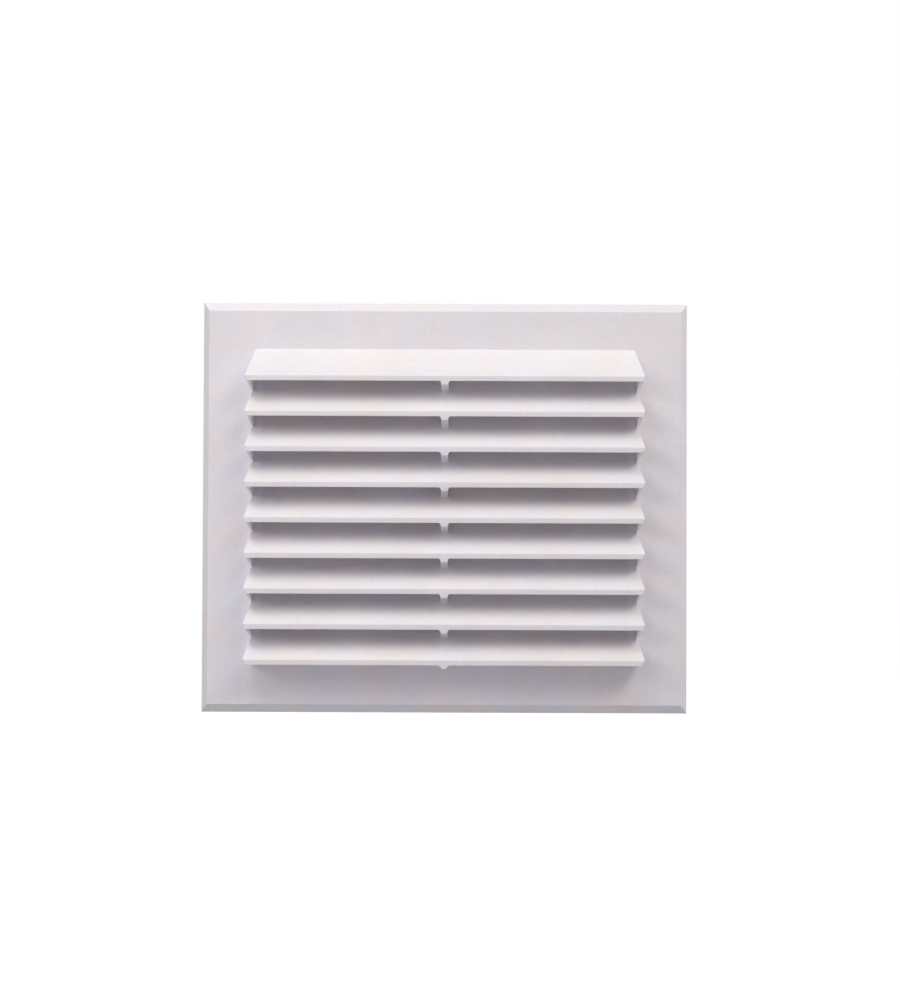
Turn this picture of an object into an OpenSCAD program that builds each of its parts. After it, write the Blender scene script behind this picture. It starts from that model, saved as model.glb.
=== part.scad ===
// Louvred vent grille: a bevelled plate with a bank of sloping hoods, moulded in one piece.
// The back lies on the wall plane y = 0, the louvres face -Y and +Z is up.

/* [Plate] */
// Width of the plate
plate_w = 155; // [110:1:260]
// Height of the plate
plate_h = 131; // [80:1:260]
// Thickness of the plate
plate_t = 3; // [2.5:0.1:6]
// Width of the front bevel at the left and right
bevel_w = 2.1; // [1:0.1:5]
// Height of the front bevel at the top and bottom
bevel_h = 2.8; // [1:0.1:5]
// Depth of the front bevel, from the front face back
bevel_d = 2.2; // [0.5:0.1:2.2]

/* [Borders] */
// Plain border beside the root of each blade
border_side = 17; // [10:0.1:30]
// Plain border above the root of the first blade
border_top = 15; // [8:0.1:30]
// Least plain border below the last blade
border_low = 14; // [8:0.1:30]

/* [Louvres] */
// Height from one blade to the next
pitch = 11.1; // [8:0.1:16]
// Distance that the lips stand out from the plate
reach = 9.4; // [6:0.1:16]
// Height of the upright face at each lip
lip_h = 1.7; // [1.2:0.1:3]
// Extra length of a blade at each end, from root to lip
flare = 2.2; // [0:0.1:4]
// Length that a lip loses again at each end, down its upright face
lip_cut = 0.8; // [0:0.1:2]
// Thickness of the cheek that closes each end of a blade
cheek_t = 1.2; // [1:0.1:3]
// Distance from the plate at which a cheek's edge meets the blade below
cheek_seat = 2.8; // [0.5:0.1:4]

/* [Middle web] */
// Thickness of the web between the blades
web_t = 2.3; // [1:0.1:5]
// Distance from the plate at which the web's edge meets the blade below
web_seat = 2.9; // [0.5:0.1:4]
// Width of the nub where the web meets the lip
nub_w = 3.1; // [1.5:0.1:6]
// Width of the nub at its tip
nub_tip = 1.2; // [0.4:0.1:1.5]
// Height of the nub below the lip
nub_h = 1.1; // [0.5:0.1:2]
// Depth of the nub from front to back
nub_d = 1.5; // [0.5:0.1:3]

/* [Hidden] */

// Overlap that keeps the cuts clean
cut = 0.2;
// Step of the arc along the web's front edge, in degrees
arc_step = 10;

// Fall of a blade from root to lip: the lip ends level with the next blade's root
drop = pitch - lip_h;
slope = drop / reach;
blades = floor((plate_h - border_top - border_low) / pitch);

// Planes seen from the side, in y
front_y = -plate_t;
lip_y = front_y - reach;
seat_y = front_y - web_seat;
cheek_y = front_y - cheek_seat;

// Height that the tail of a cheek comes down over the blade below, and how far it runs on inside that blade
tail_h = cheek_seat * slope;
tail_run = 1 + lip_h / 2 / drop;
tail_y = lip_y + (cheek_y - lip_y) * tail_run;

// Half the length of a blade at its root
root_half = plate_w / 2 - border_side;

// Half the length of a lip along its lower edge, never less than at a root
low_half = root_half + max(0, flare - lip_cut);

// Height of the root edge of blade i, counted from the top
function root_z(i) = plate_h / 2 - border_top - i * pitch;

// Height of the upper face of blade i, and of its plane inside the plate, at depth y
function top_z(i, y) = root_z(i) + (y - front_y) * slope;

// Height of the lower face of blade i at depth y
function under_z(i, y) = top_z(i, y) - lip_h;

// Half the length of a blade at a height below its root
function half_at(fall) = root_half + flare * min(fall, drop) / drop;

// Outer ends of hood i seen from the front: root, lip, lower edge of the lip and on through the seat of the tail
function outer_ends(i) = mirrored([
    [half_at(0), root_z(i)],
    [half_at(drop), root_z(i) - drop],
    [low_half, root_z(i + 1)],
    [low_half + (half_at(tail_h) - low_half) * 2, root_z(i + 1) - tail_h * 2]
]);

// Inner ends of hood i, a cheek's thickness in, from a rise above the root down past the tail
function inner_ends(i, rise) = mirrored([
    [half_at(-rise) - cheek_t, root_z(i) + rise],
    [half_at(drop) - cheek_t, root_z(i) - drop],
    [low_half - cheek_t, root_z(i + 1)],
    [low_half - cheek_t, root_z(i + 1) - tail_h * 3]
]);

// Outline of the plate through its thickness, for a size and its bevel: [depth, place across]
function plate_section(size, bevel) = [
    [0, -size / 2],
    [0, size / 2],
    [bevel_d - plate_t, size / 2],
    [front_y, size / 2 - bevel],
    [front_y, bevel - size / 2],
    [bevel_d - plate_t, -size / 2]
];

// Solid with a [y, z] outline, running along x
module side_prism(outline, width) {
    rotate([90, 0, 90])
        linear_extrude(width, center = true)
            polygon(outline);
}

// Solid with an [x, z] outline, running along y from near to far
module front_prism(outline, near, far) {
    translate([0, far, 0])
        rotate([90, 0, 0])
            linear_extrude(far - near)
                polygon(outline);
}

// Half outline given as [x, z] points, completed by its mirror image
function mirrored(half) = concat(
    half,
    [for (i = [len(half) - 1 : -1 : 0]) [-half[i][0], half[i][1]]]
);

// Plate with mitred bevels round its front
module plate() {
    intersection() {
        side_prism(plate_section(plate_h, bevel_h), plate_w);
        linear_extrude(plate_h, center = true)
            polygon([for (p = plate_section(plate_w, bevel_w)) [p[1], p[0]]]);
    }
}

// Solid block of one hood: blade, lip and, above a further blade, the tails of its cheeks
module hood_block(i) {
    inside = front_y / 2;
    next_z = root_z(i + 1);
    tail_z = next_z - tail_h * tail_run;
    foot = i == blades - 1 ? [[inside, next_z]] : [[tail_y, tail_z], [inside, tail_z]];
    intersection() {
        side_prism(concat(
            [
                [inside, root_z(i)],
                [front_y, root_z(i)],
                [lip_y, root_z(i) - drop],
                [lip_y, next_z]
            ],
            foot
        ), plate_w);
        front_prism(outer_ends(i), lip_y - cut, 0);
    }
}

// Space under blade i, from before its lip to behind the plate, down to the floor given for its back and front
module air_way(i, back_floor, front_floor) {
    near = lip_y - cut;
    intersection() {
        side_prism([
            [near, under_z(i, near)],
            [cut, under_z(i, cut)],
            [cut, back_floor],
            [near, front_floor]
        ], plate_w);
        front_prism(inner_ends(i, top_z(i, cut) - root_z(i)), near - cut, 2 * cut);
    }
}

// Hollow hood i, open below
module hood(i) {
    low = root_z(i + 1) - tail_h * 2;
    difference() {
        hood_block(i);
        air_way(i, low, low);
    }
}

// Upright web under blade i: its hollow front edge runs from the lip to the blade below
module web(i) {
    last = i == blades - 1;
    tip_z = root_z(i + 1) - nub_h;
    seat_z = top_z(i + 1, seat_y);
    edge = last
        ? [[lip_y, root_z(i + 1)], [front_y, root_z(i + 1)]]
        : [for (a = [0 : arc_step : 90]) [
            lip_y + (seat_y - lip_y) * sin(a),
            seat_z + (tip_z - seat_z) * cos(a)
        ]];
    foot_y = last ? front_y / 2 : seat_y;
    side_prism(concat(
        [[0, under_z(i, 0) + lip_h / 2], [lip_y, under_z(i, lip_y) + lip_h / 2]],
        edge,
        [[foot_y, top_z(i + 1, foot_y) - lip_h / 2], [0, top_z(i + 1, 0) - lip_h / 2]]
    ), web_t);
}

// Small flared nub that joins the web to the lip of blade i, its top inside the blade
module nub(i) {
    far_y = lip_y + nub_d;
    tip_z = root_z(i + 1) - nub_h;
    intersection() {
        side_prism([
            [lip_y, under_z(i, lip_y) + lip_h / 2],
            [far_y, under_z(i, far_y) + lip_h / 2],
            [far_y, tip_z],
            [lip_y, tip_z]
        ], plate_w);
        front_prism(mirrored([
            [nub_w / 2, root_z(i)],
            [nub_w / 2, root_z(i + 1)],
            [nub_tip / 2, tip_z]
        ]), lip_y - cut, far_y + cut);
    }
}

// The whole moulding
module grille() {
    color([0.94, 0.93, 0.94])
        union() {
            difference() {
                plate();
                for (i = [0 : blades - 1])
                    air_way(i, top_z(i + 1, cut), top_z(i + 1, lip_y - cut));
            }
            for (i = [0 : blades - 1]) {
                hood(i);
                web(i);
                nub(i);
            }
        }
}

grille();
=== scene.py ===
import bpy
import bmesh
import math
import numpy as np
from mathutils import Matrix, Vector


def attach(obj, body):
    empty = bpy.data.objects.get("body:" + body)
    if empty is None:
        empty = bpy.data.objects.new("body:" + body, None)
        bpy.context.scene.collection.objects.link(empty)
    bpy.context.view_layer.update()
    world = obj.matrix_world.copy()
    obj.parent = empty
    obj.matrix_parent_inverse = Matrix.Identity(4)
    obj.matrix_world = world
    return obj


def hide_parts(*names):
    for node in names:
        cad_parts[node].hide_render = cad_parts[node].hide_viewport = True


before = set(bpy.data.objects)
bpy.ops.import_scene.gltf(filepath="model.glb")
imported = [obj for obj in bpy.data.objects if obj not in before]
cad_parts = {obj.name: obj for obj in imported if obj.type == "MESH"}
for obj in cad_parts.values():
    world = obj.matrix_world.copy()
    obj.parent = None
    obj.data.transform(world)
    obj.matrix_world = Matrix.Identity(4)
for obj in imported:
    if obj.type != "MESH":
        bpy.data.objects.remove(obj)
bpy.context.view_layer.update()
scene = bpy.context.scene


# Shader maths: a socket that can be added, taken away and multiplied, also with plain numbers
class Sock:
    def __init__(self, tree, out):
        self.tree = tree
        self.out = out

    def maths(self, operation, other, swap=False):
        node = self.tree.nodes.new("ShaderNodeMath")
        node.operation = operation
        pair = (other, self) if swap else (self, other)
        for i, value in enumerate(pair):
            plug(self.tree, node.inputs[i], value)
        return Sock(self.tree, node.outputs[0])

    # Another output of the node that this one comes from
    def beside(self, name):
        return Sock(self.tree, self.out.node.outputs[name])

    def __add__(self, other):
        return self.maths("ADD", other)

    def __radd__(self, other):
        return self.maths("ADD", other, True)

    def __sub__(self, other):
        return self.maths("SUBTRACT", other)

    def __rsub__(self, other):
        return self.maths("SUBTRACT", other, True)

    def __mul__(self, other):
        return self.maths("MULTIPLY", other)

    def __rmul__(self, other):
        return self.maths("MULTIPLY", other, True)


def plug(tree, socket, value):
    if isinstance(value, Sock):
        tree.links.new(value.out, socket)
    else:
        socket.default_value = value


class Shader:
    def __init__(self, name, world=False):
        kept = bpy.data.worlds if world else bpy.data.materials
        self.block = kept.new(name)
        self.block.use_nodes = True
        self.tree = self.block.node_tree
        self.tree.nodes.clear()

    # Any node: its type, its settings, then the values or links of its sockets.
    # A socket goes by its name with _ for a space, or by its number, such as i6
    def node(self, kind, settings=None, out=0, **values):
        node = self.tree.nodes.new("ShaderNode" + kind)
        for key, value in (settings or {}).items():
            setattr(node, key, value)
        for key, value in values.items():
            numbered = key[0] == "i" and key[1:].isdigit()
            socket = node.inputs[int(key[1:]) if numbered else key.replace("_", " ")]
            plug(self.tree, socket, value)
        return Sock(self.tree, node.outputs[out]) if len(node.outputs) else None

    # 0 where the value is at start or short of it, 1 at end or past it, and even in between
    def ramp(self, value, start, end):
        return self.node("MapRange", {"clamp": True}, Value=value, From_Min=start, From_Max=end)

    def noise(self, place, scale, detail, rough):
        return self.node("TexNoise", {"noise_dimensions": "3D"}, Vector=place, Scale=scale,
                         Detail=detail, Roughness=rough)

    def blend(self, kind, share, first, second):
        return self.node("Mix", {"data_type": "RGBA", "blend_type": kind}, out=2,
                         i0=share, i6=first, i7=second)


# The moulding: the CAD solid merged into whole faces, with small rounded edges.
# Lengths in metres, angles in degrees
mould = {
    "name": "moulding",
    "merge": 2e-6,
    "flat": 0.5,
    "sharp": 24.0,
    "edgeRound": 0.00018,
    "lipRound": 0.00034,
    "rimRound": 0.00014,
    "rimWidth": 0.004,
    "lipDepth": 2e-5,
    "segments": 3,
    "weld": 1e-5,
    "flatWeight": 100,
}


# Each edge's rounding as a share of the lips': none where it hardly turns, all of it along the
# foremost edges, which are the lips, least along the plate's rim, and in between elsewhere
def roundingShares(mesh, turns):
    points = np.empty(len(mesh.vertices) * 3)
    mesh.vertices.foreach_get("co", points)
    points = points.reshape(-1, 3)
    ends = np.empty(len(mesh.edges) * 2, dtype=int)
    mesh.edges.foreach_get("vertices", ends)
    a, b = points[ends[0::2]], points[ends[1::2]]
    front = points[:, 1].min() + mould["lipDepth"]
    side = points[:, 0].max() - mould["rimWidth"]
    top = points[:, 2].max() - mould["rimWidth"]
    onLip = (a[:, 1] < front) & (b[:, 1] < front)
    onSide = np.maximum(abs(a[:, 0]), abs(b[:, 0])) > side
    onTop = np.minimum(abs(a[:, 2]), abs(b[:, 2])) > top
    size = np.where(onSide | onTop, mould["rimRound"], mould["edgeRound"])
    size = np.where(onLip, mould["lipRound"], size)
    shares = np.where(turns > math.radians(mould["sharp"]), size / mould["lipRound"], 0.0)
    return shares.astype(np.float32)


def mouldingPiece():
    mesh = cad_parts["grille"].data.copy()
    mesh.name = mould["name"]
    mesh.materials.clear()
    shape = bmesh.new()
    shape.from_mesh(mesh)
    bmesh.ops.remove_doubles(shape, verts=shape.verts, dist=mould["merge"])
    flat = math.radians(mould["flat"])
    bmesh.ops.dissolve_limit(shape, angle_limit=flat, verts=shape.verts, edges=shape.edges)
    bmesh.ops.recalc_face_normals(shape, faces=shape.faces)
    turns = np.array([e.calc_face_angle(0.0) for e in shape.edges])
    shape.to_mesh(mesh)
    shape.free()
    weights = mesh.attributes.new("bevel_weight_edge", "FLOAT", "EDGE")
    weights.data.foreach_set("value", roundingShares(mesh, turns))
    mesh.polygons.foreach_set("use_smooth", np.ones(len(mesh.polygons), dtype=bool))

    moulding = bpy.data.objects.new(mould["name"], mesh)
    scene.collection.objects.link(moulding)
    bevel = moulding.modifiers.new("rounding", "BEVEL")
    bevel.width = mould["lipRound"]
    bevel.segments = mould["segments"]
    bevel.limit_method = "WEIGHT"
    bevel.use_clamp_overlap = True
    bevel.miter_outer = "MITER_SHARP"
    weld = moulding.modifiers.new("slivers", "WELD")
    weld.merge_threshold = mould["weld"]
    normals = moulding.modifiers.new("flats", "WEIGHTED_NORMAL")
    normals.weight = mould["flatWeight"]
    return moulding


# The finish: white satin plastic, a little uneven in tone, with the fine grain of the tool.
# A noise is its scale, detail and roughness, and a span is the part of it that is spread to 0 to 1
plasticLook = {
    "cool": (0.889, 0.889, 0.935, 1),
    "warm": (0.930, 0.878, 0.863, 1),
    "shade": (0.88, 0.88, 0.88, 1),
    "tint": (70.0, 3.0, 0.6),
    "tintSpan": (0.34, 0.66),
    "cloud": (42.0, 4.0, 0.6),
    "cloudSpan": (0.32, 0.68),
    "cloudShade": 0.45,
    "grain": (900.0, 2.0, 0.6),
    "grainSpan": (0.30, 0.70),
    "grainShade": 0.35,
    "speck": (420.0, 2.0, 0.5),
    "speckSpan": (0.70, 0.78),
    "speckShade": 0.25,
    "rough": 0.40,
    "roughSpread": 0.10,
    "speckRough": 0.12,
    "wave": (60.0, 2.0, 0.5),
    "waveHeight": 0.00035,
    "waveStrength": 0.35,
    "skin": (2600.0, 3.0, 0.6),
    "skinHeight": 0.00002,
    "skinStrength": 0.5,
    "refraction": 1.5,
}

# Painted shade that darkens the plastic deep between the blades, standing in for the shade there, in metres:
# out at the lips there is none
recessShadeLook = {
    "deep": -0.0052,
    "clean": -0.0092,
    "side": 0.0590,
    "top": 0.0425,
    "low": -0.0445,
    "soft": 0.0015,
    "least": 0.7,
    "uneven": 0.6,
    "rough": 0.1,
    # The darker colour that the painted shade between the blades multiplies in
    "colour": (0.88, 0.865, 0.86, 1),
}


# Where the painted shade lies: 1 between the blades near the plate, fading towards the lips
def paintedShadeBetweenBlades(s, place):
    d = recessShadeLook
    split = s.node("SeparateXYZ", Vector=place)
    across, depth, height = split.maths("ABSOLUTE", 0.0), split.beside("Y"), split.beside("Z")
    near = s.ramp(depth, d["clean"], d["deep"])
    inside = s.ramp(across, d["side"], d["side"] - d["soft"])
    below = s.ramp(height, d["top"], d["top"] - d["soft"])
    above = s.ramp(height, d["low"], d["low"] + d["soft"])
    return near * inside * below * above


def satinPlastic():
    look = plasticLook
    s = Shader("whiteSatinPlastic")
    place = s.node("TexCoord", out=3)
    cloud = s.noise(place, *look["cloud"])
    tint = s.noise(place, *look["tint"])
    wave = s.noise(place, *look["wave"])
    skin = s.noise(place, *look["skin"])
    grain = s.noise(place, *look["grain"])
    speck = s.noise(place, *look["speck"])
    uneven = s.ramp(cloud, *look["cloudSpan"])
    warmth = s.ramp(tint, *look["tintSpan"])
    fleck = s.ramp(grain, *look["grainSpan"])
    spot = s.ramp(speck, *look["speckSpan"])
    base = s.blend("MIX", warmth, look["cool"], look["warm"])
    darker = uneven * look["cloudShade"] + fleck * look["grainShade"] + spot * look["speckShade"]
    tone = s.blend("MULTIPLY", darker, base, look["shade"])
    # Painted shade deep between the blades, made uneven by the cloud noise, darkens the tone and adds
    # roughness there
    paintedShade = paintedShadeBetweenBlades(s, place) * (recessShadeLook["least"] + uneven * recessShadeLook["uneven"])
    shadedTone = s.blend("MULTIPLY", paintedShade, tone, recessShadeLook["colour"])
    rough = look["rough"] + (cloud - 0.5) * look["roughSpread"]
    rough = rough + spot * look["speckRough"] + paintedShade * recessShadeLook["rough"]
    waves = s.node("Bump", Strength=look["waveStrength"], Distance=look["waveHeight"], Height=wave)
    fine = s.node("Bump", Strength=look["skinStrength"], Distance=look["skinHeight"], Height=skin,
                  Normal=waves)
    plastic = s.node("BsdfPrincipled", Base_Color=shadedTone, Roughness=rough, IOR=look["refraction"],
                     Normal=fine)
    s.node("OutputMaterial", Surface=plastic)
    return s.block


piece = mouldingPiece()
piece.data.materials.append(satinPlastic())
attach(piece, "root")
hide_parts("grille")
print("moulding:", len(piece.data.vertices), "points,", len(piece.data.polygons), "faces")


# The studio: a pale floor well below, soft lamps in front, a weak one behind and a white surround.
# Lengths in metres, angles in degrees, power in watts. Azimuth 0 is in front, and 90 is the right
studio = {
    "floorLevel": -0.30,
    "floorHalf": 6.0,
    "floorColour": (0.80, 0.80, 0.80, 1),
    "floorRough": 0.75,
    "floorRoughSpread": 0.1,
    "floorGrain": (40.0, 3.0, 0.5),
    "floorShade": 0.14,
    "shadeReach": (1.4, 0.6),
    "white": (1, 1, 1, 1),
    "lampFar": 0.8,
    "lampSize": (0.40, 0.26),
    "lamps": [
        {"name": "keyLeft", "azimuth": -36, "elevation": 62, "power": 2.22, "colour": (0.99, 1.0, 0.99)},
        {"name": "keyRight", "azimuth": 36, "elevation": 42, "power": 1.93, "colour": (1.0, 0.95, 0.905)},
        {"name": "overhead", "azimuth": 36, "elevation": 82, "power": 0.20, "colour": (0.85, 1.0, 0.9)},
        {"name": "rightSheet", "azimuth": 60, "elevation": 42, "power": 0.67, "colour": (1.0, 0.955, 0.9)},
        {"name": "rightRim", "azimuth": 88, "elevation": 2, "power": 1.08, "colour": (0.87, 0.86, 1.0)},
        {"name": "leftSheet", "azimuth": -60, "elevation": 22, "power": 0.99, "colour": (1.0, 0.985, 0.985)},
        {"name": "leftFront", "azimuth": -36, "elevation": 22, "power": 0.82, "colour": (1.0, 0.925, 0.905)},
        {"name": "lowFront", "azimuth": -12, "elevation": 2, "power": 0.67, "colour": (0.76, 0.7, 1.0)},
        {"name": "behind", "azimuth": 180, "elevation": -12, "power": 0.50, "colour": (1.0, 0.98, 1.0)},
    ],
}


# The unit direction from the origin at an azimuth and elevation
def towards(azimuth, elevation):
    a, e = math.radians(azimuth), math.radians(elevation)
    return Vector((math.sin(a) * math.cos(e), -math.cos(a) * math.cos(e), math.sin(e)))


# 1 for rays that see the background directly, by gloss or through something clear, and else 0
def whiteToEye(s):
    camera = s.node("LightPath", out=0)
    gloss, through = camera.beside("Is Glossy Ray"), camera.beside("Is Transmission Ray")
    return camera.maths("MAXIMUM", gloss).maths("MAXIMUM", through)


# Matt to the lamps and white to the eye, but a little less white near the middle
def makeFloor():
    half, level = studio["floorHalf"], studio["floorLevel"]
    mesh = bpy.data.meshes.new("studioFloor")
    corners = [(-half, -half, level), (half, -half, level), (half, half, level), (-half, half, level)]
    mesh.from_pydata(corners, [], [(0, 1, 2, 3)])
    floor = bpy.data.objects.new("studioFloor", mesh)
    scene.collection.objects.link(floor)
    s = Shader("paleFloor")
    place = s.node("TexCoord", out=3)
    grain = s.noise(place, *studio["floorGrain"])
    rough = studio["floorRough"] + (grain - 0.5) * studio["floorRoughSpread"]
    matt = s.node("BsdfDiffuse", Color=studio["floorColour"], Roughness=rough)
    away = s.node("VectorMath", {"operation": "LENGTH"}, out=1, i0=place)
    near = s.ramp(away, *studio["shadeReach"])
    strength = whiteToEye(s) * (1.0 - near * studio["floorShade"])
    glow = s.node("Emission", Color=studio["white"], Strength=strength)
    s.node("OutputMaterial", Surface=s.node("AddShader", i0=matt, i1=glow))
    mesh.materials.append(s.block)


# White to the eye and no light of its own
def makeWorld():
    s = Shader("whiteSurround", world=True)
    s.node("OutputWorld", Surface=s.node("Background", Color=studio["white"], Strength=whiteToEye(s)))
    scene.world = s.block


# Each lamp is a soft sheet that faces the origin
def makeLamps():
    for lamp in studio["lamps"]:
        data = bpy.data.lights.new(lamp["name"], "AREA")
        data.shape = "RECTANGLE"
        data.size, data.size_y = studio["lampSize"]
        data.energy = lamp["power"]
        data.color = lamp["colour"]
        light = bpy.data.objects.new(lamp["name"], data)
        scene.collection.objects.link(light)
        way = towards(lamp["azimuth"], lamp["elevation"])
        light.rotation_mode = "QUATERNION"
        light.rotation_quaternion = way.to_track_quat("Z", "Y")
        light.location = way * studio["lampFar"]


# The photograph's viewpoint: square on, a touch low and to the right, with a slight roll.
# The eye is in metres, the lens and sensor in millimetres
cameraPlace = {
    "eye": (0.0049, -0.43917, -0.0075),
    "lens": 49.26,
    "sensor": 36,
    "yaw": 0.001,
    "tilt": -0.941,
    "roll": 0.227,
    "shift": (-0.01, 0.0088),
    "clip": (0.01, 50),
}


# The camera looks back along the direction of its yaw and tilt, and is then rolled about that line
def makeCamera():
    c = cameraPlace
    data = bpy.data.cameras.new("photoCamera")
    camera = bpy.data.objects.new("photoCamera", data)
    scene.collection.objects.link(camera)
    data.lens, data.sensor_width = c["lens"], c["sensor"]
    data.shift_x, data.shift_y = c["shift"]
    data.clip_start, data.clip_end = c["clip"]
    look = -towards(c["yaw"], c["tilt"])
    turn = look.to_track_quat("-Z", "Y").to_matrix().to_4x4()
    roll = Matrix.Rotation(math.radians(c["roll"]), 4, "Z")
    camera.matrix_world = Matrix.Translation(Vector(c["eye"])) @ turn @ roll
    scene.camera = camera


makeFloor()
makeWorld()
makeLamps()
makeCamera()
scene.view_settings.view_transform = "Standard"
print("studio: floor, surround,", len(studio["lamps"]), "lamps and camera")
